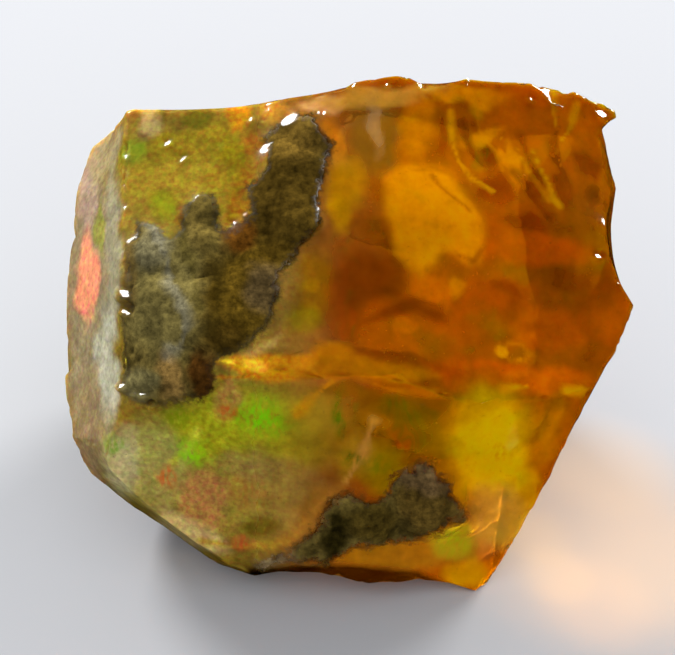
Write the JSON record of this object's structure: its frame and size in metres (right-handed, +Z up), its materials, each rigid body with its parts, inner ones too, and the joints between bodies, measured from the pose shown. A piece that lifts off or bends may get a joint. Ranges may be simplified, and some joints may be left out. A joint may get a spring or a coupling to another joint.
{
  "type": "rough opal",
  "caption": "Rough piece of amber, see-through opal with a broken, shell-shaped surface and patches of grey-brown host rock, standing on its own flat base.",
  "frame": {"origin": "on the ground, under the middle of the stone's bounding box", "axes": "+Z up, +X along the stone's longest side, -Y towards the side with the most host rock"},
  "size_m": [0.02, 0.0144, 0.0136],
  "materials": {
    "opal": "wet-looking amber opal, clear on the right and milky on the left, with green and orange play of colour and dull grey-brown host rock in patches"
  },
  "bodies": {
    "root": {"opal": "opal"}
  },
  "joints": []
}
